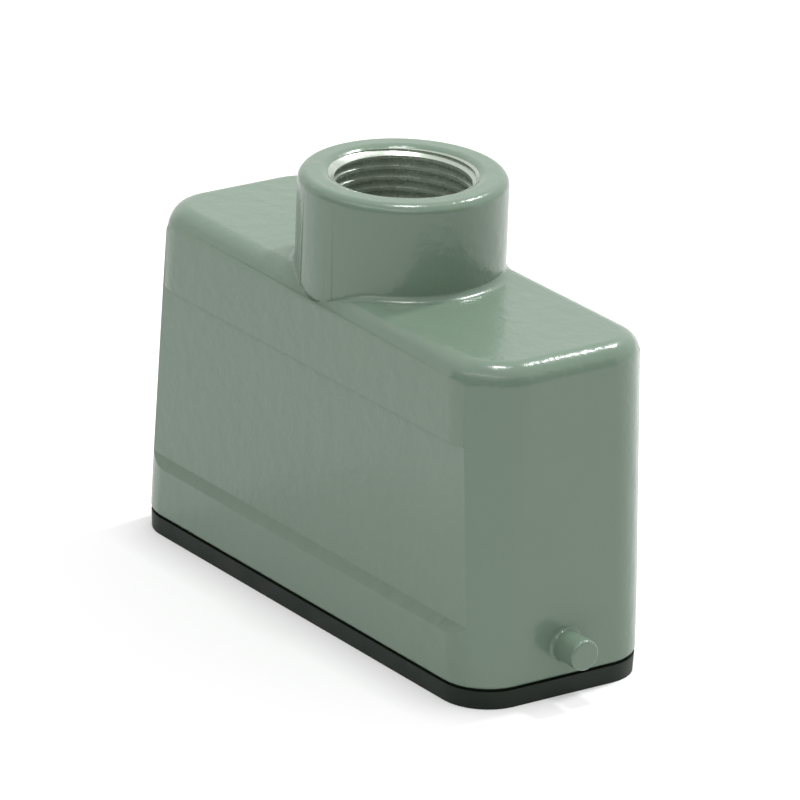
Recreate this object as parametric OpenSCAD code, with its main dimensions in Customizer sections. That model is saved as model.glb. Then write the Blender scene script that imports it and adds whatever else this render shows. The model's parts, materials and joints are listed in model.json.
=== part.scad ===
// Heavy duty rectangular connector: a top-entry die-cast hood with its rim
// seal and a sixteen pole male contact insert with protective earth.
// Millimetres. The origin is under the middle of the rim seal, +X runs along
// the hood, +Z points up through the cable entry.

/* [Hood] */
// Length of the hood at its rim
hood_l = 80; // [78:0.5:90]
// Width of the hood at its rim
hood_w = 29.4; // [29.3:0.1:34]
// Height of the hood from its rim to its top face
hood_h = 43.3; // [40:0.1:55]
// Wall and roof thickness of the casting
wall_t = 3; // [2.8:0.05:3.2]
// Casting draft, as inset for each millimetre of height
draft = 0.014; // [0.006:0.001:0.015]
// Plan radius of the corners at the rim
corner_r = 6.6; // [6:0.1:7.5]
// Plan radius that the corners gain up to the top face
corner_gain = 1; // [0:0.1:1.5]
// Radius of the rounded edge around the top face
top_r = 2.8; // [1.5:0.1:3]
// Height of the small chamfer around the lower edge of the rim
rim_chamfer = 0.3; // [0.1:0.05:0.5]

/* [Label recess] */
// Depth of the recess at its lower ledge
recess_d = 1.05; // [0.6:0.05:1.3]
// Height of the recess's lower edge above the rim
recess_low = 6.8; // [5:0.1:9]
// Height of the sloping ledge under the recess
recess_ledge = 1.5; // [0.8:0.1:2.5]
// Distance from the top face down to the recess's upper edge
recess_top_gap = 9.9; // [8:0.1:14]

/* [Cable entry] */
// Outer diameter of the neck
neck_d = 28; // [26.4:0.1:28]
// Height of the neck above the top face
neck_h = 14; // [11:0.5:20]
// Radius of the neck's upper outer edge
neck_edge_r = 1.3; // [0.6:0.1:1.6]
// Radius of the hollow blend around the foot of the neck
neck_root_r = 1.2; // [0.6:0.1:1.8]
// Nominal diameter of the entry thread
entry_d = 20; // [18:0.5:20.4]
// Radial width of the flared mouth
mouth_w = 1.2; // [0.8:0.1:1.4]
// Depth of the flared mouth
mouth_d = 0.6; // [0.4:0.1:0.8]

/* [Locking pegs] */
// Diameter of a locking peg
peg_d = 4.3; // [3.6:0.1:5]
// Length that a peg stands out of the end wall
peg_l = 4.5; // [3.5:0.1:6]
// Height of the peg axis above the rim
peg_up = 4.3; // [3.8:0.1:6]
// Radius of the blend at the foot of a peg
peg_root_r = 0.5; // [0.3:0.1:0.8]
// Radius of the edge at the tip of a peg
peg_edge_r = 0.5; // [0.3:0.1:0.8]

/* [Rim seal] */
// Height of the seal below the hood's rim
seal_h = 3.1; // [2.5:0.1:4]
// Inset of the seal's outer face from the rim's edge
seal_inset = 0.5; // [0.3:0.1:0.7]
// Width of the seal lip at the rim
seal_w = 2.4; // [2:0.1:2.5]
// Inset that the seal's outer face gains towards its foot
seal_taper = 0.3; // [0.1:0.1:0.5]
// Width of the seal's rib in the rim's groove
rib_w = 1.1; // [0.8:0.1:1.2]
// Height of the seal's rib
rib_h = 1.5; // [1:0.1:2]
// Clearance around the rib in its groove
rib_clear = 0.1; // [0.05:0.05:0.15]

/* [Insert] */
// Contacts in each row
poles = 8; // [6:1:8]
// Distance between the two rows
row_gap = 7.4; // [7.2:0.1:7.6]
// Depth of the insert's mating face inside the seal's foot
insert_recess = 1.2; // [0.8:0.1:2]
// Depth of the contact well in the mating face
well_d = 11; // [9:0.5:12]
// Length of flange that each end leaves free for its earth bracket
earth_space = 7.8; // [7.5:0.1:8.2]
// Wall of the shroud around the well
shroud_t = 1.4; // [1.1:0.1:1.5]
// Thickness of the web under the contacts
web_t = 3.8; // [3:0.1:4.5]
// Thickness of the mounting flange
flange_t = 2.5; // [2:0.1:3]
// Gap between the flange and the hood's inner wall
flange_clear = 0.35; // [0.2:0.05:0.5]
// Height of the terminal block above the web
block_h = 14; // [12:0.5:16]
// Gap between the outer contacts' chambers and the ends of the block
block_end = 3.4; // [2.4:0.1:3.6]
// Gap between the chambers and the long sides of the block
block_side = 2.6; // [2:0.1:2.8]

/* [Contacts] */
// Diameter of a contact pin
pin_d = 2.5; // [2:0.1:2.7]
// Set-back of the pin tips from the mating face
pin_setback = 1.6; // [1:0.1:3]
// Diameter of the contact's shank in the web
shank_d = 3.1; // [2.9:0.1:3.5]
// Width of the contact's terminal along its row
term_w = 4.4; // [4.2:0.1:4.5]
// Depth of the contact's terminal across the rows
term_d = 4.6; // [4.4:0.1:4.7]
// Height of the contact's terminal
term_h = 9; // [8:0.5:10]
// Diameter of the wire hole
wire_d = 2.8; // [2:0.1:3]
// Gap between a contact and its chamber
contact_clear = 0.1; // [0.05:0.05:0.15]

/* [Screws] */
// Nominal diameter of the terminal and fixing screws
screw_d = 3; // [2.6:0.1:3]
// Head diameter of the terminal screws
term_head_d = 3.9; // [3.4:0.1:4]
// Head height of the terminal screws
term_head_h = 1.1; // [0.9:0.1:1.4]
// Distance from the flange's ends to the fixing screws
fix_edge_x = 3.4; // [3.3:0.1:3.8]
// Distance from the flange's sides to the fixing screws
fix_edge_y = 3.2; // [3.1:0.1:3.5]
// Head diameter of the fixing screws
fix_head_d = 5.4; // [5:0.1:5.6]
// Head height of the fixing screws
fix_head_h = 2; // [1.6:0.1:2.4]
// Thread length of the fixing screws in the hood
fix_grip = 7; // [5:0.5:9]
// Radius of the screw bosses in the hood
boss_r = 3.4; // [3:0.1:3.6]
// Radial clearance around every screw
screw_clear = 0.05; // [0.03:0.01:0.08]

/* [Earth] */
// Thickness of the earth bracket
earth_t = 0.8; // [0.6:0.1:1]
// Width of the earth spring blade
blade_w = 5; // [4:0.5:6]
// Set-back of the earth blade from the mating face
blade_setback = 2.4; // [1.5:0.1:4]
// Gap between the earth blade and the shroud
blade_gap = 0.3; // [0.2:0.1:0.5]
// Width of the earth terminal tab
tab_w = 6.4; // [5:0.1:6.6]
// Nominal diameter of the earth screws
earth_screw_d = 3.5; // [3:0.1:3.6]
// Head diameter of the earth screws
earth_head_d = 6; // [5.4:0.1:6.2]
// Head height of the earth screws
earth_head_h = 1.8; // [1.4:0.1:2.2]
// Side of the square wire clamp under each earth screw
clamp_w = 5.8; // [5:0.1:6]
// Thickness of the wire clamp
clamp_t = 0.9; // [0.7:0.1:1.2]
// Gap under the wire clamp, where the wire goes
clamp_gap = 0.3; // [0.1:0.1:0.5]

/* [Hidden] */
sides = ["a", "b"];

overlap = 0.01;
facets = 32;
arc_steps = 6;
root_steps = 5;
root_sides = 72;
root_sink = 0.02;
$fn = 48;

// Heights above the seal's foot
rim_z = seal_h;
top_z = rim_z + hood_h;
neck_z = top_z + neck_h;
peg_z = rim_z + peg_up;
roof_z = top_z - wall_t;
face_z = insert_recess;
web_z = face_z + well_d;
chamber_z = web_z + web_t;
flange_z = chamber_z - flange_t;
block_z = chamber_z + block_h;

// Half sizes of the casting's outer face at a height
function half_l(z) = hood_l / 2 - draft * (z - rim_z);
function half_w(z) = hood_w / 2 - draft * (z - rim_z);
function corner(z) = corner_r + corner_gain * (z - rim_z) / hood_h;

recess_low_z = rim_z + recess_low;
recess_top_z = top_z - recess_top_gap;
recess_y = half_w(recess_low_z + recess_ledge) - recess_d;

inner_r = corner_r - wall_t;

entry_r = entry_d / 2;
mouth_r = entry_r + mouth_w;

flange_l = 2 * (half_l(flange_z) - wall_t - flange_clear);
flange_w = 2 * (half_w(flange_z) - wall_t - flange_clear);
fix_x = flange_l / 2 - fix_edge_x;
fix_y = flange_w / 2 - fix_edge_y;
block_l = flange_l - 2 * earth_space;
pitch = (block_l - term_w - 2 * block_end) / (poles - 1);
block_w = row_gap + term_d + 2 * block_side - 2 * contact_clear;
well_l = block_l - 2 * shroud_t;
well_w = block_w - 2 * shroud_t;

contact_xs = [for (i = [0:poles - 1]) (i - (poles - 1) / 2) * pitch];
term_screw_z = chamber_z + term_h * 0.6;
pedestal_h = 2.2;
tab_z = chamber_z + pedestal_h;
strap_x0 = block_l / 2 + blade_gap;
strap_x1 = flange_l / 2 - flange_clear;
tab_x = (strap_x0 + strap_x1) / 2;
riser_x = strap_x1 - earth_t;

// Points of an arc around [cx, cy] from angle a0 to angle a1
function arc(cx, cy, r, a0, a1) =
    [for (i = [0:arc_steps]) let (a = a0 + (a1 - a0) * i / arc_steps)
        [cx + r * cos(a), cy + r * sin(a)]];

// Four copies, one at each corner of a rectangle of half sizes x and y
module at_corners(x, y) {
    for (sx = [-1, 1], sy = [-1, 1]) translate([sx * x, sy * y, 0]) children();
}

// Rounded rectangle in plan
module plan(l, w, r) {
    square([l - 2 * r, w], center = true);
    square([l, w - 2 * r], center = true);
    at_corners(l / 2 - r, w / 2 - r) circle(r, $fn = facets);
}

// ---- Hood ------------------------------------------------------------------

// The casting's outer form: drafted walls, rounded corners and a soft top edge
module outer_form() {
    foot_z = rim_z + rim_chamfer;
    foot_r = corner(rim_z);
    crown_r = corner(top_z);
    hull() {
        at_corners(half_l(rim_z) - foot_r, half_w(rim_z) - foot_r) {
            translate([0, 0, rim_z])
                cylinder(r1 = foot_r - rim_chamfer / 2, r2 = foot_r, h = rim_chamfer, $fn = facets);
            translate([0, 0, foot_z]) cylinder(r = foot_r, h = overlap, $fn = facets);
        }
        at_corners(half_l(top_z) - crown_r, half_w(top_z) - crown_r)
            translate([0, 0, top_z - top_r]) rotate_extrude($fn = facets)
                translate([crown_r - top_r, 0]) circle(top_r, $fn = facets);
    }
}

// The hollow inside the casting, open at the rim
module cavity() {
    below = 1;
    hull() {
        translate([0, 0, rim_z - below])
            at_corners(half_l(rim_z) - wall_t - inner_r, half_w(rim_z) - wall_t - inner_r)
                cylinder(r = inner_r, h = below, $fn = facets);
        translate([0, 0, roof_z - overlap])
            at_corners(half_l(roof_z) - wall_t - inner_r, half_w(roof_z) - wall_t - inner_r)
                cylinder(r = inner_r, h = overlap, $fn = facets);
    }
}

// Cuts the label recess into the side at -Y, out through both rounded ends
module label_recess() {
    reach = half_w(rim_z) + 2;
    slope = recess_d / recess_ledge;
    rotate([90, 0, 90]) linear_extrude(hood_l, center = true) polygon([
        [-reach, recess_top_z],
        [-recess_y, recess_top_z - 0.1],
        [-recess_y, recess_low_z + recess_ledge],
        [-half_w(recess_low_z), recess_low_z],
        [-reach, recess_low_z - (reach - half_w(recess_low_z)) / slope]]);
}

// Turned neck of the cable entry
module neck() {
    r = neck_d / 2;
    root_z = top_z - min(top_r, wall_t);
    rotate_extrude($fn = 2 * $fn) polygon(concat(
        [[0, root_z], [r, root_z]],
        arc(r - neck_edge_r, neck_z - neck_edge_r, neck_edge_r, 0, 90),
        [[0, neck_z]]));
}

// Height of the casting's top above y, down over its rounded long edges
function crown_z(y) = let (past = max(abs(y) - half_w(top_z) + top_r, 0))
    top_z - top_r + sqrt(max(top_r * top_r - past * past, 0));

// Fall of the crown, in degrees, going outwards from the neck in a direction
function crown_fall(a) = let (past = max(abs(neck_d / 2 * sin(a)) - half_w(top_z) + top_r, 0))
    atan(tan(asin(min(past / top_r, 0.99))) * abs(sin(a)));

// Section of the blend in one direction: an arc that is tangent to the neck
// and to the crown, closed inside the casting
function root_section(a) =
    let (r = neck_d / 2, fall = crown_fall(a), span = 90 - fall, lift = neck_root_r * tan(span / 2),
         curve = [for (i = [0:root_steps]) let (
             turn = span * i / root_steps,
             out = r + neck_root_r * (1 - cos(turn)),
             above = lift - neck_root_r * sin(turn) + (out - r) * tan(fall))
             [out - root_sink, crown_z(out * sin(a)) + above - root_sink]],
         low_z = curve[root_steps][1] - 1)
    concat(curve, [[curve[root_steps][0], low_z], [r - 1, low_z], [r - 1, curve[0][1]]]);

// Blend that follows the foot of the neck over the crown's rounded edges
module neck_root() {
    sections = [for (j = [0:root_sides - 1]) root_section(360 * j / root_sides)];
    n = len(sections[0]);
    function at(i, j) = (i % n) + n * (j % root_sides);
    polyhedron(
        [for (j = [0:root_sides - 1], p = sections[j]) let (a = 360 * j / root_sides)
            [p[0] * cos(a), p[0] * sin(a), p[1]]],
        [for (i = [0:n - 1], j = [0:root_sides - 1], half = [0, 1])
            half == 0 ? [at(i, j), at(i, j + 1), at(i + 1, j)]
                      : [at(i + 1, j), at(i, j + 1), at(i + 1, j + 1)]]);
}

// Bore of the cable entry with its flared mouth
module entry_bore() {
    flare_r = (mouth_w * mouth_w + mouth_d * mouth_d) / (2 * mouth_d);
    sweep = asin(mouth_w / flare_r);
    rotate_extrude($fn = 2 * $fn) polygon(concat(
        [[0, roof_z - 1], [entry_r, roof_z - 1]],
        arc(mouth_r, neck_z - flare_r, flare_r, 90 + sweep, 90),
        [[mouth_r + 1, neck_z + 0.1], [0, neck_z + 0.1]]));
}

// Locking peg at the end wall on +X
module peg() {
    r = peg_d / 2;
    root = 1;
    wall_x = half_l(peg_z);
    translate([wall_x, 0, peg_z]) rotate([0, 90, 0]) rotate_extrude() polygon(concat(
        [[0, -root], [r + peg_root_r, -root]],
        arc(r + peg_root_r, peg_root_r, peg_root_r, 270, 180),
        arc(r - peg_edge_r, peg_l - peg_edge_r, peg_edge_r, 0, 90),
        [[0, peg_l]]));
}

// Screw boss that hangs from the roof and fills a corner of the cavity
module screw_boss() {
    corner_x = half_l(roof_z) - wall_t - inner_r;
    corner_y = half_w(roof_z) - wall_t - inner_r;
    translate([0, 0, chamber_z]) linear_extrude(roof_z - chamber_z + overlap) {
        translate([fix_x, fix_y]) circle(boss_r);
        intersection() {
            translate([corner_x, corner_y]) circle(inner_r + wall_t / 2);
            union() {
                translate([fix_x, fix_y - boss_r]) square(hood_w);
                translate([fix_x - boss_r, fix_y]) square(hood_w);
            }
        }
    }
}

// Groove in the rim for the seal's rib
module rib_groove() {
    mid = seal_inset + seal_w / 2;
    translate([0, 0, rim_z - overlap]) linear_extrude(rib_h + rib_clear + overlap)
        rib_outline(mid, rib_w + 2 * rib_clear);
}

module rib_outline(mid, w) {
    difference() {
        plan(hood_l - 2 * mid + w, hood_w - 2 * mid + w, corner_r - mid + w / 2);
        plan(hood_l - 2 * mid - w, hood_w - 2 * mid - w, corner_r - mid - w / 2);
    }
}

module hood() {
    hole_h = fix_grip + 1;
    color("slategray") difference() {
        union() {
            difference() {
                outer_form();
                cavity();
                for (turn = [0, 180]) rotate(turn) label_recess();
            }
            neck();
            neck_root();
            for (turn = [0, 180]) rotate(turn) peg();
            for (mx = [0, 1], my = [0, 1]) mirror([mx, 0, 0]) mirror([0, my, 0]) screw_boss();
        }
        entry_bore();
        rib_groove();
        at_corners(fix_x, fix_y) translate([0, 0, chamber_z - overlap])
            cylinder(d = screw_d + 2 * screw_clear, h = hole_h);
    }
}

// ---- Seal ------------------------------------------------------------------

module rim_seal() {
    l = hood_l - 2 * seal_inset;
    w = hood_w - 2 * seal_inset;
    r = corner_r - seal_inset;
    mid = seal_inset + seal_w / 2;
    color("#20241f") {
        difference() {
            hull() {
                linear_extrude(overlap) plan(l - 2 * seal_taper, w - 2 * seal_taper, r - seal_taper);
                translate([0, 0, rim_z - overlap]) linear_extrude(overlap) plan(l, w, r);
            }
            translate([0, 0, -1]) linear_extrude(rim_z + 2)
                plan(l - 2 * seal_w, w - 2 * seal_w, r - seal_w);
        }
        translate([0, 0, rim_z - overlap]) linear_extrude(rib_h + overlap) rib_outline(mid, rib_w);
    }
}

// ---- Insert ----------------------------------------------------------------

// One contact's place in the insert body: shank hole, chamber and screw window
module contact_cut() {
    chamber_w = term_w + 2 * contact_clear;
    chamber_d = term_d + 2 * contact_clear;
    translate([0, 0, web_z - 1]) cylinder(d = shank_d + 2 * contact_clear, h = web_t + 2);
    translate([-chamber_w / 2, -chamber_d / 2, chamber_z]) cube([chamber_w, chamber_d, block_h + 1]);
    translate([0, 0, term_screw_z]) rotate([90, 0, 0])
        cylinder(d = term_head_d + 4 * screw_clear, h = row_gap);
}

// Pedestal and notch of the earth terminal at the end on +X
module earth_seat() {
    translate([block_l / 2 - overlap, -tab_w / 2, chamber_z - overlap])
        cube([riser_x - screw_clear - block_l / 2, tab_w, pedestal_h + overlap]);
}

module earth_notch() {
    slack = 0.2;
    translate([riser_x - screw_clear, -tab_w / 2 - slack, flange_z - 1])
        cube([flange_l, tab_w + 2 * slack, flange_t + pedestal_h + 2]);
}

module insert_body() {
    hole_d = screw_d + 2 * screw_clear + 0.3;
    color("gainsboro") difference() {
        union() {
            translate([0, 0, face_z]) linear_extrude(block_z - face_z) plan(block_l, block_w, 1.2);
            translate([0, 0, flange_z]) linear_extrude(flange_t)
                plan(flange_l, flange_w, inner_r - flange_clear);
            for (m = [0, 1]) mirror([m, 0, 0]) earth_seat();
        }
        translate([0, 0, face_z - 1]) linear_extrude(well_d + 1) plan(well_l, well_w, 0.8);
        for (x = contact_xs, m = [0, 1])
            mirror([0, m, 0]) translate([x, -row_gap / 2, 0]) contact_cut();
        at_corners(fix_x, fix_y) translate([0, 0, flange_z - 1]) cylinder(d = hole_d, h = flange_t + 2);
        for (m = [0, 1]) mirror([m, 0, 0]) {
            earth_notch();
            translate([tab_x, 0, flange_z + 1]) cylinder(d = earth_screw_d + 1, h = block_h);
        }
    }
}

// ---- Contacts --------------------------------------------------------------

// Male contact of the row at -Y: rounded pin, shank and screw terminal
module contact() {
    tip_z = face_z + pin_setback;
    tip_r = pin_d / 2;
    color("goldenrod") difference() {
        union() {
            translate([0, 0, tip_z]) {
                translate([0, 0, tip_r]) cylinder(d = pin_d, h = web_z - tip_z - tip_r + overlap);
                rotate_extrude() polygon(concat([[0, tip_r]], arc(0, tip_r, tip_r, 0, -90)));
            }
            translate([0, 0, web_z]) cylinder(d = shank_d, h = web_t + overlap);
            translate([-term_w / 2, -term_d / 2, chamber_z]) cube([term_w, term_d, term_h]);
        }
        translate([0, 0, chamber_z + 1]) cylinder(d = wire_d, h = term_h);
        translate([0, 0, term_screw_z]) rotate([90, 0, 0])
            cylinder(d = screw_d + 2 * screw_clear, h = term_d);
    }
}

// Slotted screw along +Z with its head's underside at z = 0 and the shank below
module slotted_screw(d, head_d, head_h, shank) {
    slot_w = d / 4;
    difference() {
        union() {
            cylinder(d = head_d, h = head_h);
            translate([0, 0, -shank]) cylinder(d = d, h = shank + overlap);
        }
        translate([-head_d, -slot_w / 2, head_h * 0.5]) cube([2 * head_d, slot_w, head_h]);
    }
}

// Sixteen terminal screws, each through the outer face of its contact
module terminal_screws() {
    head_y = row_gap / 2 + term_d / 2 + screw_clear;
    color("silver") for (x = contact_xs, m = [0, 1]) mirror([0, m, 0])
        translate([x, -head_y, term_screw_z]) rotate([90, 0, 0])
            slotted_screw(screw_d, term_head_d, term_head_h, term_d / 2);
}

// ---- Fixing and earth ------------------------------------------------------

// Four screws that hold the insert and the earth brackets to the hood's bosses
module fixing_screws() {
    seat_z = flange_z - earth_t;
    color("silver") at_corners(fix_x, fix_y) translate([0, 0, seat_z]) mirror([0, 0, 1])
        slotted_screw(screw_d, fix_head_d, fix_head_h, chamber_z - seat_z + fix_grip);
}

// Bent earth bracket of the end on +X: strap, spring blade, riser and tab
module earth_bracket() {
    strap_w = 2 * fix_y + fix_head_d;
    strap_z = flange_z - earth_t;
    blade_z = face_z + blade_setback;
    color("lightgray") difference() {
        union() {
            translate([0, 0, strap_z]) linear_extrude(earth_t) intersection() {
                plan(2 * strap_x1, strap_w, inner_r - flange_clear);
                translate([strap_x0, -strap_w / 2]) square(strap_w);
            }
            translate([strap_x0, -blade_w / 2, blade_z]) cube([earth_t, blade_w, strap_z - blade_z + overlap]);
            translate([riser_x, -tab_w / 2, strap_z]) cube([earth_t, tab_w, tab_z + earth_t - strap_z]);
            translate([strap_x0, -tab_w / 2, tab_z]) cube([strap_x1 - strap_x0, tab_w, earth_t]);
        }
        at_corners(fix_x, fix_y) translate([0, 0, strap_z - 1])
            cylinder(d = screw_d + 2 * screw_clear + 0.3, h = earth_t + 2);
        translate([tab_x, 0, tab_z - 1]) cylinder(d = earth_screw_d + 2 * screw_clear, h = earth_t + 2);
    }
}

clamp_z = tab_z + earth_t + clamp_gap;

module earth_bracket_right() earth_bracket();
module earth_bracket_left() mirror([1, 0, 0]) earth_bracket();

// Square wire clamps that ride on the earth screws
module earth_clamps() {
    color("silver") for (m = [0, 1]) mirror([m, 0, 0]) translate([tab_x, 0, clamp_z]) difference() {
        translate([-clamp_w / 2, -clamp_w / 2, 0]) cube([clamp_w, clamp_w, clamp_t]);
        translate([0, 0, -1]) cylinder(d = earth_screw_d + 2 * screw_clear, h = clamp_t + 2);
    }
}

module earth_screws() {
    color("silver") for (m = [0, 1]) mirror([m, 0, 0])
        translate([tab_x, 0, clamp_z + clamp_t])
            slotted_screw(earth_screw_d, earth_head_d, earth_head_h, clamp_t + clamp_gap + earth_t + 1.5);
}

// ---- Assembly --------------------------------------------------------------

hood();
rim_seal();
insert_body();
terminal_screws();
fixing_screws();
earth_bracket_left();
earth_bracket_right();
earth_clamps();
earth_screws();
for (i = [0:poles - 1], m = [0, 1])
    mirror([0, m, 0]) translate([contact_xs[i], -row_gap / 2, 0]) contact();
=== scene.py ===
"""Looks of a heavy duty rectangular connector hood with its male insert.

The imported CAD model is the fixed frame. Each sub-assembly below takes its
CAD nodes, finishes their edges, gives them a procedural finish and adds what
the solids leave out: the entry thread, the seal's lip and a finer fit of the
casting. Sizes are in metres, in the frame of the CAD model, except in
CastingFit, which works in millimetres.
"""

import json
import logging
import math
from dataclasses import dataclass, field
from enum import Enum

import bmesh
import bpy
from mathutils import Matrix, Vector

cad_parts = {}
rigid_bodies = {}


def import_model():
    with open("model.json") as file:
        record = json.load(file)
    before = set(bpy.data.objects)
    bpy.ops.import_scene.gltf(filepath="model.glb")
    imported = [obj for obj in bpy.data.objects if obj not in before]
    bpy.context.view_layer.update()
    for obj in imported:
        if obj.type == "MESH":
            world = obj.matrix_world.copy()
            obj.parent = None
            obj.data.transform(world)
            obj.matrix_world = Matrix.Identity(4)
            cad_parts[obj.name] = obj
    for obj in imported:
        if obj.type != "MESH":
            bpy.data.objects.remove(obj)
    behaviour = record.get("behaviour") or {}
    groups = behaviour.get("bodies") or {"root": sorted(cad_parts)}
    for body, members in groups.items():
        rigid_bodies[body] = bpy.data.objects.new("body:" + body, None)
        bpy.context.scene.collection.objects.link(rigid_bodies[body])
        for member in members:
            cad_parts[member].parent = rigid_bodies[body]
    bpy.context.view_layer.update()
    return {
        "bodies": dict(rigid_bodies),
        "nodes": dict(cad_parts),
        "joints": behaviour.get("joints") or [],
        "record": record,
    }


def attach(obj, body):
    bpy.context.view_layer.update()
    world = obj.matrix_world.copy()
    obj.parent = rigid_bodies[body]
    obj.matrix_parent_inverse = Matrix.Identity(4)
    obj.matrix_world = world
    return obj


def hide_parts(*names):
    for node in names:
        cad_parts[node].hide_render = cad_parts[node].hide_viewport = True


MM = 0.001
BODY = "root"
NOISE_SPAN = (0.3, 0.7)  # where most values of a noise lie
ROUND = 96  # sides of a turned form

Triple = tuple[float, float, float]
Span = tuple[float, float]
Socket = bpy.types.NodeSocket

log = logging.getLogger("connector")


class Slot(Enum):
    """Names of the record's material slots."""

    HOOD = "hood_paint"
    SEAL = "seal_rubber"
    PLASTIC = "insert_plastic"
    CONTACT = "contact_metal"
    STEEL = "plated_steel"


# ---- Finishes ---------------------------------------------------------------


class NodeBoard:
    """A material's node tree with short helpers for laying out its nodes."""

    def __init__(self, name: str) -> None:
        """Starts a material with a principled shader and object coordinates.

        Args:
            name: name of the material.
        """
        self.material = bpy.data.materials.new(name)
        self.material.use_nodes = True
        self.tree = self.material.node_tree
        self.shader = self.tree.nodes["Principled BSDF"]
        self.coords = self.add("ShaderNodeTexCoord").outputs["Object"]

    def add(self, kind: str, **values: object) -> bpy.types.Node:
        """Adds a node and sets its properties or input sockets.

        Args:
            kind: Blender's name of the node type.
            values: properties, or inputs with blanks written as underscores.

        Returns:
            The new node.
        """
        node = self.tree.nodes.new(kind)
        for key, value in values.items():
            label = key.replace("_", " ")
            if label in node.inputs:
                node.inputs[label].default_value = value
            else:
                setattr(node, key, value)
        return node

    def link(self, source: Socket, target: Socket) -> None:
        """Joins an output socket to an input socket."""
        self.tree.links.new(source, target)

    def noise(self, scale: float, detail: float = 2.0, roughness: float = 0.5,
              stretch: Triple = (1.0, 1.0, 1.0)) -> Socket:
        """Adds a noise over the object.

        Args:
            scale: cells for each metre.
            detail: octaves of finer noise.
            roughness: weight of the finer octaves.
            stretch: scale of the coordinates along X, Y and Z.

        Returns:
            The noise's value, 0 to 1.
        """
        mapping = self.add("ShaderNodeMapping", Scale=stretch)
        self.link(self.coords, mapping.inputs["Vector"])
        node = self.add("ShaderNodeTexNoise", Scale=scale, Detail=detail,
                        Roughness=roughness)
        self.link(mapping.outputs["Vector"], node.inputs["Vector"])
        return node.outputs["Fac"]

    def ramp(self, value: Socket, result: Span, source: Span = NOISE_SPAN) -> Socket:
        """Maps a value from one range to another, clamped.

        Args:
            value: socket to map.
            result: range of the result.
            source: range of the value.

        Returns:
            The mapped value.
        """
        node = self.add("ShaderNodeMapRange")
        for key, number in zip(("From Min", "From Max", "To Min", "To Max"),
                               (*source, *result)):
            node.inputs[key].default_value = number
        self.link(value, node.inputs["Value"])
        return node.outputs["Result"]

    def tint(self, base: Triple, value: Socket, spread: float) -> Socket:
        """Varies a colour's lightness by a noise.

        Args:
            base: linear colour.
            value: noise, 0 to 1.
            spread: share by which the colour darkens and lightens.

        Returns:
            The colour.
        """
        node = self.add("ShaderNodeMix", data_type="RGBA")
        dark = [c * (1 - spread) for c in base] + [1.0]
        light = [min(c * (1 + spread), 1.0) for c in base] + [1.0]
        factor, first, second = (node.inputs[index] for index in (0, 6, 7))
        first.default_value = dark
        second.default_value = light
        self.link(value, factor)
        return node.outputs[2]

    def bump(self, height: Socket, distance: float,
             under: Socket | None = None) -> Socket:
        """Adds a bump.

        Args:
            height: noise that gives the relief.
            distance: height of the relief in metres.
            under: normal of a coarser bump that this one adds to.

        Returns:
            The normal.
        """
        node = self.add("ShaderNodeBump", Distance=distance, Strength=1.0)
        self.link(height, node.inputs["Height"])
        if under is not None:
            self.link(under, node.inputs["Normal"])
        return node.outputs["Normal"]


@dataclass(frozen=True)
class CastPaint:
    """Semi-gloss paint on a die casting: soft orange peel and faint wrinkles."""

    base: Triple = (0.164, 0.234, 0.174)
    ior: float = 1.5
    gloss_roughness: float = 0.21
    gloss_spread: float = 0.03
    gloss_scale: float = 180.0
    cloud_scale: float = 60.0
    cloud_detail: float = 3.0
    cloud_spread: float = 0.035
    peel_scale: float = 1100.0
    peel_height: float = 0.032 * MM
    wave_scale: float = 420.0
    wave_height: float = 0.09 * MM

    def material(self) -> bpy.types.Material:
        """Builds the paint.

        Returns:
            The material.
        """
        board = NodeBoard("cast_paint")
        inputs = board.shader.inputs
        cloud = board.noise(self.cloud_scale, self.cloud_detail)
        board.link(board.tint(self.base, cloud, self.cloud_spread), inputs["Base Color"])
        gloss = (self.gloss_roughness - self.gloss_spread,
                 self.gloss_roughness + self.gloss_spread)
        board.link(board.ramp(board.noise(self.gloss_scale), gloss), inputs["Roughness"])
        inputs["IOR"].default_value = self.ior
        wave = board.bump(board.noise(self.wave_scale), self.wave_height)
        peel = board.bump(board.noise(self.peel_scale), self.peel_height, under=wave)
        board.link(peel, inputs["Normal"])
        return board.material


@dataclass(frozen=True)
class SealRubber:
    """Matt black-green rubber with a faint moulded grain."""

    base: Triple = (0.0048, 0.0118, 0.0054)
    roughness: Span = (0.5, 0.62)
    specular: float = 0.3
    detail: float = 3.0
    cloud_scale: float = 240.0
    cloud_spread: float = 0.15
    grain_scale: float = 2600.0
    grain_height: float = 0.006 * MM

    def material(self) -> bpy.types.Material:
        """Builds the rubber.

        Returns:
            The material.
        """
        board = NodeBoard("seal_rubber")
        inputs = board.shader.inputs
        cloud = board.noise(self.cloud_scale, self.detail)
        board.link(board.tint(self.base, cloud, self.cloud_spread), inputs["Base Color"])
        board.link(board.ramp(cloud, self.roughness), inputs["Roughness"])
        inputs["Specular IOR Level"].default_value = self.specular
        grain = board.noise(self.grain_scale, self.detail)
        board.link(board.bump(grain, self.grain_height), inputs["Normal"])
        return board.material


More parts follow.
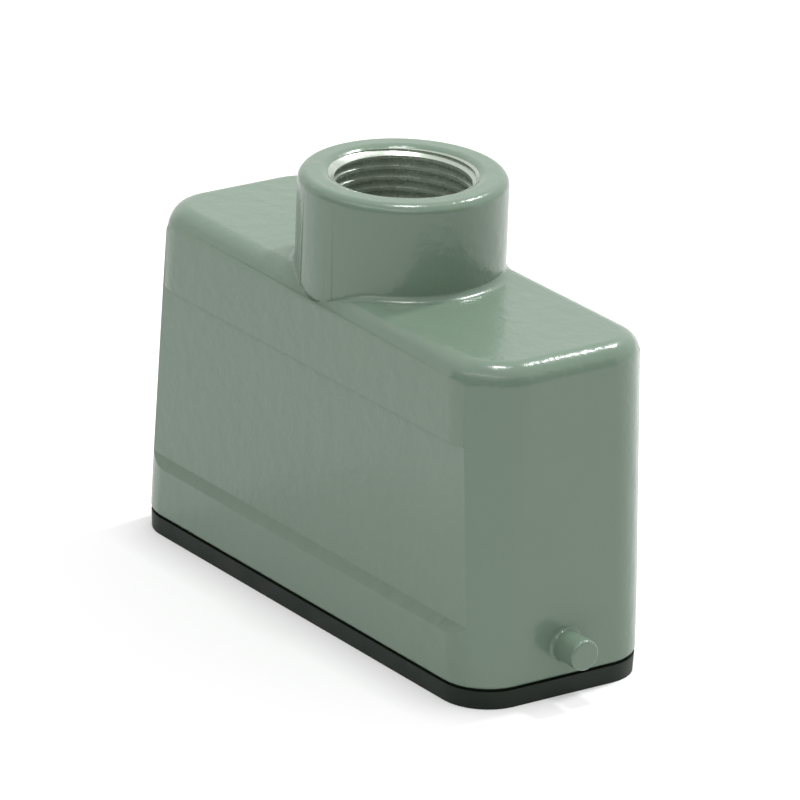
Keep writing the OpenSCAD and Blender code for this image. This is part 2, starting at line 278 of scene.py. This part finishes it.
@dataclass(frozen=True)
class InsertPlastic:
    """Glass-filled pale grey moulding with a fine matt grain."""

    base: Triple = (0.48, 0.49, 0.46)
    roughness: Span = (0.42, 0.52)
    sheen_scale: float = 300.0
    fleck_scale: float = 1500.0
    fleck_detail: float = 4.0
    fleck_weight: float = 0.6
    fleck_spread: float = 0.05
    grain_scale: float = 4200.0
    grain_detail: float = 3.0
    grain_height: float = 0.005 * MM

    def material(self) -> bpy.types.Material:
        """Builds the plastic.

        Returns:
            The material.
        """
        board = NodeBoard("insert_plastic")
        inputs = board.shader.inputs
        fleck = board.noise(self.fleck_scale, self.fleck_detail, self.fleck_weight)
        board.link(board.tint(self.base, fleck, self.fleck_spread), inputs["Base Color"])
        sheen = board.noise(self.sheen_scale)
        board.link(board.ramp(sheen, self.roughness), inputs["Roughness"])
        grain = board.noise(self.grain_scale, self.grain_detail)
        board.link(board.bump(grain, self.grain_height), inputs["Normal"])
        return board.material


@dataclass(frozen=True)
class Metal:
    """Bare or plated metal with fine tool marks."""

    name: str
    base: Triple
    roughness: float
    mark_scale: float
    mark_stretch: Triple = (1.0, 1.0, 1.0)
    mark_height: float = 0.004 * MM
    metallic: float = 1.0
    roughness_spread: float = 0.06
    cloud_scale: float = 500.0
    cloud_spread: float = 0.06
    detail: float = 3.0
    mark_weight: float = 0.6

    def material(self) -> bpy.types.Material:
        """Builds the metal.

        Returns:
            The material.
        """
        board = NodeBoard(self.name)
        inputs = board.shader.inputs
        inputs["Metallic"].default_value = self.metallic
        cloud = board.noise(self.cloud_scale, self.detail)
        board.link(board.tint(self.base, cloud, self.cloud_spread), inputs["Base Color"])
        span = (self.roughness - self.roughness_spread,
                self.roughness + self.roughness_spread)
        board.link(board.ramp(cloud, span), inputs["Roughness"])
        marks = board.noise(self.mark_scale, self.detail, self.mark_weight,
                            self.mark_stretch)
        board.link(board.bump(marks, self.mark_height), inputs["Normal"])
        return board.material


# ---- Workbench --------------------------------------------------------------


class Bench:
    """Modelling steps that every sub-assembly uses."""

    merge_gap = 0.0005 * MM
    flat_angle = 0.2

    @staticmethod
    def clear() -> None:
        """Leaves edit mode and deselects everything."""
        if bpy.context.object and bpy.context.object.mode != "OBJECT":
            bpy.ops.object.mode_set(mode="OBJECT")
        bpy.ops.object.select_all(action="DESELECT")

    @staticmethod
    def pick(piece: bpy.types.Object) -> None:
        """Makes a piece the only selected and active object."""
        Bench.clear()
        piece.select_set(True)
        bpy.context.view_layer.objects.active = piece

    @staticmethod
    def take_primitive() -> bpy.types.Object:
        """Moves a new primitive's place into its mesh and returns its object."""
        bpy.ops.object.transform_apply(location=True, rotation=True, scale=True)
        return bpy.context.object

    @staticmethod
    def cylinder(radius: float, depth: float, middle: float) -> bpy.types.Object:
        """Turns a closed cylinder about the Z axis.

        Args:
            radius: its radius.
            depth: its height.
            middle: height of its middle.

        Returns:
            The cylinder.
        """
        Bench.clear()
        bpy.ops.mesh.primitive_cylinder_add(vertices=ROUND, radius=radius, depth=depth,
                                            location=(0, 0, middle))
        return Bench.take_primitive()

    @staticmethod
    def copy_node(frame: dict, node: str, name: str) -> bpy.types.Object:
        """Copies a CAD node, joins its loose triangles and flattens its plane faces.

        Args:
            node: name of the CAD node.
            name: name of the copy.

        Returns:
            The copy, with its own mesh.
        """
        source = frame["nodes"][node]
        piece = bpy.data.objects.new(name, source.data.copy())
        bpy.context.scene.collection.objects.link(piece)
        piece.data.materials.clear()
        Bench.pick(piece)
        bpy.ops.object.mode_set(mode="EDIT")
        bpy.ops.mesh.select_all(action="SELECT")
        bpy.ops.mesh.remove_doubles(threshold=Bench.merge_gap)
        bpy.ops.mesh.dissolve_limited(angle_limit=math.radians(Bench.flat_angle))
        bpy.ops.object.mode_set(mode="OBJECT")
        return piece

    @staticmethod
    def apply(piece: bpy.types.Object, kind: str, **settings: object) -> None:
        """Adds a modifier and applies it.

        Args:
            piece: object to change.
            kind: Blender's name of the modifier type.
            settings: the modifier's properties.
        """
        Bench.pick(piece)
        modifier = piece.modifiers.new(kind.title(), kind)
        for key, value in settings.items():
            setattr(modifier, key, value)
        bpy.ops.object.modifier_apply(modifier=modifier.name)

    @staticmethod
    def cut(piece: bpy.types.Object, tool: bpy.types.Object) -> None:
        """Cuts a tool solid out of a piece and removes the tool.

        Args:
            piece: object to change.
            tool: closed solid.
        """
        Bench.apply(piece, "BOOLEAN", object=tool, operation="DIFFERENCE",
                    solver="EXACT")
        bpy.data.objects.remove(tool)

    @staticmethod
    def soften(piece: bpy.types.Object, width: float, segments: int = 2,
               sharp: float = 25.0, smooth: float = 35.0) -> None:
        """Rounds a piece's sharp edges and smooths its shading.

        Args:
            piece: object to change.
            width: width of the rounding.
            segments: faces across each rounding.
            sharp: least angle of an edge that is rounded, in degrees.
            smooth: greatest angle that is shaded smooth, in degrees.
        """
        Bench.apply(piece, "BEVEL", width=width, segments=segments,
                    limit_method="ANGLE", angle_limit=math.radians(sharp),
                    miter_outer="MITER_ARC", use_clamp_overlap=True,
                    harden_normals=False)
        Bench.pick(piece)
        bpy.ops.object.shade_smooth_by_angle(angle=math.radians(smooth))
        Bench.apply(piece, "WEIGHTED_NORMAL", mode="FACE_AREA", weight=100,
                    keep_sharp=True)

    @staticmethod
    def finish(piece: bpy.types.Object, material: bpy.types.Material, slot: Slot,
               *nodes: str) -> None:
        """Gives a piece its finish and its body, and hides the CAD nodes that it stands
        for.

        Args:
            piece: finished object.
            material: its finish.
            slot: the record's slot; not used.
            nodes: CAD nodes that it replaces.
        """
        piece.data.materials.clear()
        piece.data.materials.append(material)
        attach(piece, BODY)
        if nodes:
            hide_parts(*nodes)
        log.info("%s: %d faces", piece.name, len(piece.data.polygons))


# ---- Hood -------------------------------------------------------------------


@dataclass(frozen=True)
class CastingFit:
    """Sizes of the CAD casting and how far a finer fit moves them, in millimetres."""

    rim: float = 3.1
    cavity_roof: float = 43.4
    top: float = 60.4
    half_length: float = 40.0
    half_width: float = 14.7
    wall: float = 3.0
    draft: float = 0.014
    end_draft: float = 0.006
    side_foot: float = -0.05
    side_draft: float = 0.014
    side_depth: float = 1.5
    recess_floor: float = 13.534
    recess_shift: float = 0.15
    neck_radius: float = 14.0
    neck_share: float = 1.002
    crown_shift: float = 0.47
    crown_span: Span = (12.0, 14.09)
    beside_neck: Span = (8.0, 18.0)
    mouth_radius: float = 11.2
    mouth_foot: float = 59.8
    mouth_share: float = 0.67
    reach: float = 0.05
    recess_reach: float = 0.02
    neck_reach: float = 0.1
    levels: tuple[Span, ...] = ((3.1, 2.9), (4.7, 4.4), (10.1, 9.8), (11.4, 11.05),
                                (36.5, 35.8), (43.6, 43.95), (46.4, 47.04),
                                (47.6, 48.24), (59.1, 59.0), (60.4, 60.4))

    def move(self, point: Vector) -> Vector:
        """Moves a point of the CAD casting to where the finer fit puts it.

        Args:
            point: point of the casting.

        Returns:
            Its new place.
        """
        x, y, z = point
        rise = z - self.rim
        side = self.half_width - self.draft * rise
        if abs(abs(y) - self.recess_floor) < self.recess_reach:
            y += math.copysign(self.recess_shift, y)
        radius = math.hypot(x, y)
        if radius < self.mouth_radius + self.reach and z > self.mouth_foot - self.reach:
            return Vector((x, y, self.top - (self.top - z) * self.mouth_share))
        hollow = self.in_cavity(Vector((x, y, z)))
        turned = z > self.cavity_roof and radius > self.neck_radius - self.neck_reach
        away = self.share(abs(x), self.beside_neck)
        if abs(x) > self.beside_neck[1]:
            x -= math.copysign(self.end_draft * rise, x)
        elif turned:
            x *= self.neck_share
        if turned:
            y *= self.neck_share
            shift = self.crown_shift * self.share(abs(y), self.crown_span) * away
            y += math.copysign(shift, y)
        elif z < self.cavity_roof + self.reach and abs(y) > side - self.side_depth:
            y += math.copysign(self.side_foot + self.side_draft * rise, y)
        return Vector((x, y, z if hollow else self.level(z)))

    def in_cavity(self, point: Vector) -> bool:
        """Tells whether a point lies on the cavity's walls or roof.

        Args:
            point: point of the casting.

        Returns:
            True inside the outer skin of walls and roof.
        """
        inset = self.draft * (point.z - self.rim) + self.wall - self.reach
        return (abs(point.x) < self.half_length - inset
                and abs(point.y) < self.half_width - inset
                and point.z < self.cavity_roof + self.reach)

    @staticmethod
    def share(value: float, span: Span) -> float:
        """Tells how far a value lies between two others.

        Args:
            value: value to place.
            span: values that give 0 and 1.

        Returns:
            The share, eased at both ends.
        """
        low, high = span
        part = min(max((value - low) / (high - low), 0.0), 1.0)
        return part * part * (3 - 2 * part)

    def level(self, height: float) -> float:
        """Maps a height of the CAD casting to the finer fit.

        Args:
            height: height on the CAD casting.

        Returns:
            The fitted height.
        """
        for (low, new_low), (high, new_high) in zip(self.levels, self.levels[1:]):
            if height <= high:
                part = (height - low) * (new_high - new_low) / (high - low)
                return new_low + part
        return height


@dataclass
class Hood:
    """The painted die casting and the bare thread in its cable entry."""

    frame: dict
    edge: float = 0.3 * MM
    edge_sharp: float = 20.0
    edge_smooth: float = 30.0
    thread_major: float = 9.96 * MM
    thread_minor: float = 9.19 * MM
    thread_pitch: float = 1.5 * MM
    thread_top: float = 60.02 * MM
    thread_foot: float = 43.45 * MM
    thread_smooth: float = 28.0
    sleeve_wall: float = 0.035 * MM
    chamfer_lead: float = 0.15 * MM
    chamfer_extra: float = 0.2 * MM
    chamfer_rise: float = 0.12 * MM
    flank_angle: float = 30.0
    tap_reach: float = 0.1 * MM
    tap_lead: float = 1.5
    tap_steps: int = 64
    tap_merge: float = 0.001 * MM
    fit: CastingFit = field(default_factory=CastingFit)
    paint: CastPaint = field(default_factory=CastPaint)
    bare: Metal = Metal("bare_casting", (0.50, 0.56, 0.48), 0.26, 900.0,
                        (1.0, 1.0, 6.0), 0.006 * MM, 0.6)

    def build(self) -> None:
        """Makes the casting and the thread."""
        self.casting()
        self.thread()

    def casting(self) -> None:
        """Refits the casting, finishes its edges and paints it."""
        piece = Bench.copy_node(self.frame, "hood", "hood_casting")
        for vertex in piece.data.vertices:
            vertex.co = self.fit.move(vertex.co / MM) * MM
        Bench.soften(piece, self.edge, segments=3, sharp=self.edge_sharp,
                     smooth=self.edge_smooth)
        Bench.finish(piece, self.paint.material(), Slot.HOOD, "hood")

    def thread(self) -> None:
        """Turns a bare sleeve, taps it and chamfers its mouth."""
        outer = self.thread_major + self.sleeve_wall
        height = self.thread_top - self.thread_foot
        middle = self.thread_foot + height / 2
        sleeve = Bench.cylinder(outer, height, middle)
        sleeve.name = "entry_thread"
        Bench.cut(sleeve, Bench.cylinder(self.thread_minor, height * 2, middle))
        Bench.cut(sleeve, self.tap())
        Bench.cut(sleeve, self.chamfer(outer))
        Bench.pick(sleeve)
        bpy.ops.object.shade_smooth_by_angle(angle=math.radians(self.thread_smooth))
        Bench.finish(sleeve, self.bare.material(), Slot.STEEL)

    def chamfer(self, outer: float) -> bpy.types.Object:
        """Turns the cone that opens the thread's mouth.

        Args:
            outer: outer radius of the sleeve.

        Returns:
            The cone.
        """
        depth = (outer - self.thread_minor) + self.chamfer_extra
        foot = self.thread_minor - self.chamfer_lead
        middle = self.thread_top + self.chamfer_rise - depth / 2
        Bench.clear()
        bpy.ops.mesh.primitive_cone_add(vertices=ROUND, radius1=foot,
                                        radius2=foot + depth, depth=depth,
                                        location=(0, 0, middle))
        return Bench.take_primitive()

    def tap(self) -> bpy.types.Object:
        """Winds the groove that the tap leaves, as a closed solid.

        Returns:
            The groove's solid.
        """
        depth = self.thread_major - self.thread_minor + self.tap_reach
        half = depth * math.tan(math.radians(self.flank_angle))
        flat = self.thread_pitch / 16
        start = self.thread_foot - self.tap_lead * self.thread_pitch
        turns = math.ceil((self.thread_top - start) / self.thread_pitch) + 1
        inner = self.thread_minor - self.tap_reach
        Bench.clear()
        bpy.ops.mesh.primitive_plane_add(size=1.0)
        groove = bpy.context.object
        corners = ((inner, -half - flat), (self.thread_major, -flat),
                   (inner, half + flat), (self.thread_major, flat))
        for vertex, (radius, level) in zip(groove.data.vertices, corners):
            vertex.co = (radius, 0.0, start + level)
        Bench.apply(groove, "SCREW", axis="Z", screw_offset=self.thread_pitch,
                    iterations=turns, steps=self.tap_steps,
                    render_steps=self.tap_steps, use_normal_calculate=True)
        bpy.ops.object.mode_set(mode="EDIT")
        bpy.ops.mesh.select_all(action="SELECT")
        bpy.ops.mesh.remove_doubles(threshold=self.tap_merge)
        bpy.ops.mesh.select_all(action="DESELECT")
        bpy.ops.mesh.select_non_manifold(extend=False)
        bpy.ops.mesh.edge_face_add()
        bpy.ops.mesh.select_all(action="SELECT")
        bpy.ops.mesh.normals_make_consistent(inside=False)
        bpy.ops.object.mode_set(mode="OBJECT")
        return groove


# ---- Seal -------------------------------------------------------------------


@dataclass
class Seal:
    """The rubber seal in the hood's rim."""

    frame: dict
    edge: float = 0.18 * MM
    edge_sharp: float = 30.0
    rim_cad: float = 3.1 * MM
    rim: float = 2.9 * MM
    rim_reach: float = 0.01 * MM
    lip_top: float = 2.5 * MM
    lip_reach: float = 0.52 * MM
    foot_reach: float = 0.66 * MM
    centre: Span = (33.4 * MM, 8.1 * MM)
    aspect: float = 2.7
    upright: float = 0.5
    rubber: SealRubber = field(default_factory=SealRubber)

    def build(self) -> None:
        """Finishes the seal."""
        piece = Bench.copy_node(self.frame, "rim_seal", "rim_seal_ring")
        self.lip(piece)
        Bench.soften(piece, self.edge, segments=3, sharp=self.edge_sharp)
        Bench.finish(piece, self.rubber.material(), Slot.SEAL, "rim_seal")

    def lip(self, piece: bpy.types.Object) -> None:
        """Draws the outer face out to a lip that ends just under the rim.

        Args:
            piece: copy of the CAD seal.
        """
        mesh = bmesh.new()
        mesh.from_mesh(piece.data)
        for vertex in mesh.verts:
            if vertex.co.z > self.rim_cad - self.rim_reach:
                vertex.co.z -= self.rim_cad - self.rim
        bmesh.ops.bisect_plane(mesh, geom=mesh.verts[:] + mesh.edges[:] + mesh.faces[:],
                               plane_co=(0, 0, self.lip_top), plane_no=(0, 0, 1))
        mesh.normal_update()
        outer = [face for face in mesh.faces if self.is_outer(face)]
        drawn = bmesh.ops.extrude_face_region(mesh, geom=outer)["geom"]
        for vertex in drawn:
            if isinstance(vertex, bmesh.types.BMVert):
                self.draw_out(vertex.co)
        bmesh.ops.delete(mesh, geom=outer, context="FACES_ONLY")
        bmesh.ops.recalc_face_normals(mesh, faces=mesh.faces)
        mesh.to_mesh(piece.data)
        mesh.free()

    def is_outer(self, face: bmesh.types.BMFace) -> bool:
        """Tells whether a face of the seal is on its outside, below the lip's top.

        Args:
            face: face to test.

        Returns:
            True for an upright face that points away from the middle.
        """
        middle = face.calc_center_median()
        outward = Vector((middle.x / self.aspect, middle.y, 0))
        return (middle.z < self.lip_top and abs(face.normal.z) < self.upright
                and face.normal.dot(outward) > 0)

    def draw_out(self, place: Vector) -> None:
        """Moves a point of the lip outwards, square to the rim.

        Args:
            place: point to move, changed in place.
        """
        away = Vector((max(abs(place.x) - self.centre[0], 0),
                       max(abs(place.y) - self.centre[1], 0)))
        away.normalize()
        gain = (self.lip_reach - self.foot_reach) * place.z / self.lip_top
        place.x += math.copysign(away.x * (self.foot_reach + gain), place.x)
        place.y += math.copysign(away.y * (self.foot_reach + gain), place.y)


# ---- Insert -----------------------------------------------------------------


@dataclass
class Insert:
    """The plastic insert, its contacts and their screws."""

    frame: dict
    edge: float = 0.12 * MM
    contact_edge: float = 0.08 * MM
    plated_edge: float = 0.1 * MM
    plated: tuple[str, ...] = ("terminal_screws", "fixing_screws",
                               "earth_bracket_left", "earth_bracket_right",
                               "earth_clamps", "earth_screws")
    plastic: InsertPlastic = field(default_factory=InsertPlastic)
    silver: Metal = Metal("silvered_brass", (0.74, 0.70, 0.62), 0.24, 1500.0)
    steel: Metal = Metal("zinc_plate", (0.62, 0.62, 0.60), 0.3, 1600.0)

    def build(self) -> None:
        """Finishes the body, the contacts and the screws."""
        body = Bench.copy_node(self.frame, "insert_body", "insert_moulding")
        Bench.soften(body, self.edge)
        Bench.finish(body, self.plastic.material(), Slot.PLASTIC, "insert_body")
        silver = self.silver.material()
        for node in sorted(self.frame["nodes"]):
            if node.startswith("contact_"):
                piece = Bench.copy_node(self.frame, node, node + "_pin")
                Bench.soften(piece, self.contact_edge, segments=1)
                Bench.finish(piece, silver, Slot.CONTACT, node)
        steel = self.steel.material()
        for node in self.plated:
            piece = Bench.copy_node(self.frame, node, node + "_plated")
            Bench.soften(piece, self.plated_edge)
            Bench.finish(piece, steel, Slot.STEEL, node)


# ---- Studio -----------------------------------------------------------------


@dataclass(frozen=True)
class Lamp:
    """A rectangular lamp that points at the hood, with its power in watts."""

    name: str
    place: Triple
    size: Span
    power: float
    aim: Triple = (0.0, 0.0, 25 * MM)

    def hang(self) -> None:
        """Hangs the lamp."""
        data = bpy.data.lights.new(self.name, "AREA")
        data.shape = "RECTANGLE"
        data.size, data.size_y = self.size
        data.energy = self.power
        lamp = bpy.data.objects.new(self.name, data)
        bpy.context.scene.collection.objects.link(lamp)
        turn = (Vector(self.aim) - Vector(self.place)).to_track_quat("-Z", "Y")
        lamp.matrix_world = Matrix.Translation(self.place) @ turn.to_matrix().to_4x4()


@dataclass(frozen=True)
class Flag:
    """An upright dark card that only reflections show, turned in degrees."""

    name: str
    place: Triple
    turn: float
    size: Span
    colour: Triple = (0.06, 0.07, 0.06)

    def stand(self) -> None:
        """Stands the card up."""
        Bench.clear()
        upright = (math.radians(90), 0, math.radians(self.turn))
        bpy.ops.mesh.primitive_plane_add(size=1.0, location=self.place,
                                         rotation=upright)
        bpy.context.object.scale = (*self.size, 1)
        card = Bench.take_primitive()
        card.name = self.name
        board = NodeBoard(self.name)
        board.shader.inputs["Base Color"].default_value = (*self.colour, 1.0)
        board.shader.inputs["Roughness"].default_value = 1.0
        board.shader.inputs["Specular IOR Level"].default_value = 0.0
        card.data.materials.append(board.material)
        card.visible_camera = card.visible_diffuse = card.visible_shadow = False


@dataclass
class Studio:
    """Camera, world, floor, lamps and dark flags."""

    azimuth: float = 54.0565
    elevation: float = 20.8518
    roll: float = 2.1573
    distance: float = 1104.8864 * MM
    target: Triple = (0.0, 0.0, 30.0 * MM)
    lens: float = 373.636
    sensor: float = 36.0
    shift: Span = (0.005408, -0.017678)
    clip: Span = (0.05, 50.0)
    world_level: Span = (0.55, 1.0)
    floor_size: float = 12.0
    floor_height: float = -0.02 * MM
    floor_colour: Triple = (0.72, 0.72, 0.72)
    floor_roughness: float = 0.9
    floor_glow: Span = (0.0, 0.30)
    lamps: tuple[Lamp, ...] = (
        Lamp("overhead", (0.0, 0.05, 1.1), (0.22, 0.22), 5.0),
        Lamp("strip", (0.27, -0.59, 0.70), (1.2, 0.02), 1.2),
        Lamp("behind", (-0.05, 0.62, 0.80), (0.10, 0.10), 5.0))
    flags: tuple[Flag, ...] = (
        Flag("flag_front", (0.1, -0.55, 0.15), 0.0, (1.3, 0.45)),
        Flag("flag_right", (0.62, -0.05, 0.15), 90.0, (1.1, 0.45)))

    def build(self) -> None:
        """Sets the studio up."""
        self.camera()
        self.world()
        self.floor()
        for lamp in self.lamps:
            lamp.hang()
        for flag in self.flags:
            flag.stand()
        bpy.context.scene.view_settings.view_transform = "Standard"

    def camera(self) -> None:
        """Places the camera."""
        data = bpy.data.cameras.new("camera")
        data.lens = self.lens
        data.sensor_width = self.sensor
        data.shift_x, data.shift_y = self.shift
        data.clip_start, data.clip_end = self.clip
        camera = bpy.data.objects.new("camera", data)
        bpy.context.scene.collection.objects.link(camera)
        azimuth, elevation, roll = (
            math.radians(angle) for angle in (self.azimuth, self.elevation, self.roll))
        back = Vector((math.sin(azimuth) * math.cos(elevation),
                       -math.cos(azimuth) * math.cos(elevation), math.sin(elevation)))
        right = (-back).cross(Vector((0, 0, 1))).normalized()
        up = right.cross(-back)
        side = right * math.cos(roll) + up * math.sin(roll)
        top = up * math.cos(roll) - right * math.sin(roll)
        turn = Matrix((side, top, back)).transposed().to_4x4()
        place = Vector(self.target) + back * self.distance
        camera.matrix_world = Matrix.Translation(place) @ turn
        bpy.context.scene.camera = camera

    def world(self) -> None:
        """Makes a pale world that lights evenly and shows white."""
        world = bpy.data.worlds.new("studio")
        bpy.context.scene.world = world
        world.use_nodes = True
        tree = world.node_tree
        ground = tree.nodes["Background"]
        ground.inputs["Color"].default_value = (1.0, 1.0, 1.0, 1.0)
        seen = self.seen(tree, tree.nodes.new("ShaderNodeLightPath"))
        level = tree.nodes.new("ShaderNodeMapRange")
        for key, number in zip(("To Min", "To Max"), self.world_level):
            level.inputs[key].default_value = number
        tree.links.new(seen, level.inputs["Value"])
        tree.links.new(level.outputs["Result"], ground.inputs["Strength"])

    @staticmethod
    def seen(tree: bpy.types.NodeTree, path: bpy.types.Node) -> Socket:
        """Tells whether a ray is the camera's, a reflection or one through glass.

        Args:
            tree: node tree to add to.
            path: its Light Path node.

        Returns:
            A value of 1 for such a ray and 0 for the rest.
        """
        result = path.outputs["Is Camera Ray"]
        for name in ("Is Glossy Ray", "Is Transmission Ray"):
            node = tree.nodes.new("ShaderNodeMath")
            node.operation = "MAXIMUM"
            tree.links.new(result, node.inputs[0])
            tree.links.new(path.outputs[name], node.inputs[1])
            result = node.outputs["Value"]
        return result

    def floor(self) -> None:
        """Lays a white floor that keeps the shadow."""
        Bench.clear()
        bpy.ops.mesh.primitive_plane_add(size=self.floor_size,
                                         location=(0, 0, self.floor_height))
        floor = bpy.context.object
        floor.name = "floor"
        board = NodeBoard("white_floor")
        inputs = board.shader.inputs
        inputs["Base Color"].default_value = (*self.floor_colour, 1.0)
        inputs["Roughness"].default_value = self.floor_roughness
        inputs["Specular IOR Level"].default_value = 0.0
        inputs["Emission Color"].default_value = (1.0, 1.0, 1.0, 1.0)
        seen = self.seen(board.tree, board.add("ShaderNodeLightPath"))
        glow = board.ramp(seen, self.floor_glow, (0.0, 1.0))
        board.link(glow, inputs["Emission Strength"])
        floor.data.materials.append(board.material)


def main() -> None:
    """Builds the connector and its studio."""
    logging.basicConfig(level=logging.INFO, format="%(name)s: %(message)s")
    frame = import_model()
    Studio().build()
    Hood(frame).build()
    Seal(frame).build()
    Insert(frame).build()


if __name__ == "__main__":
    main()
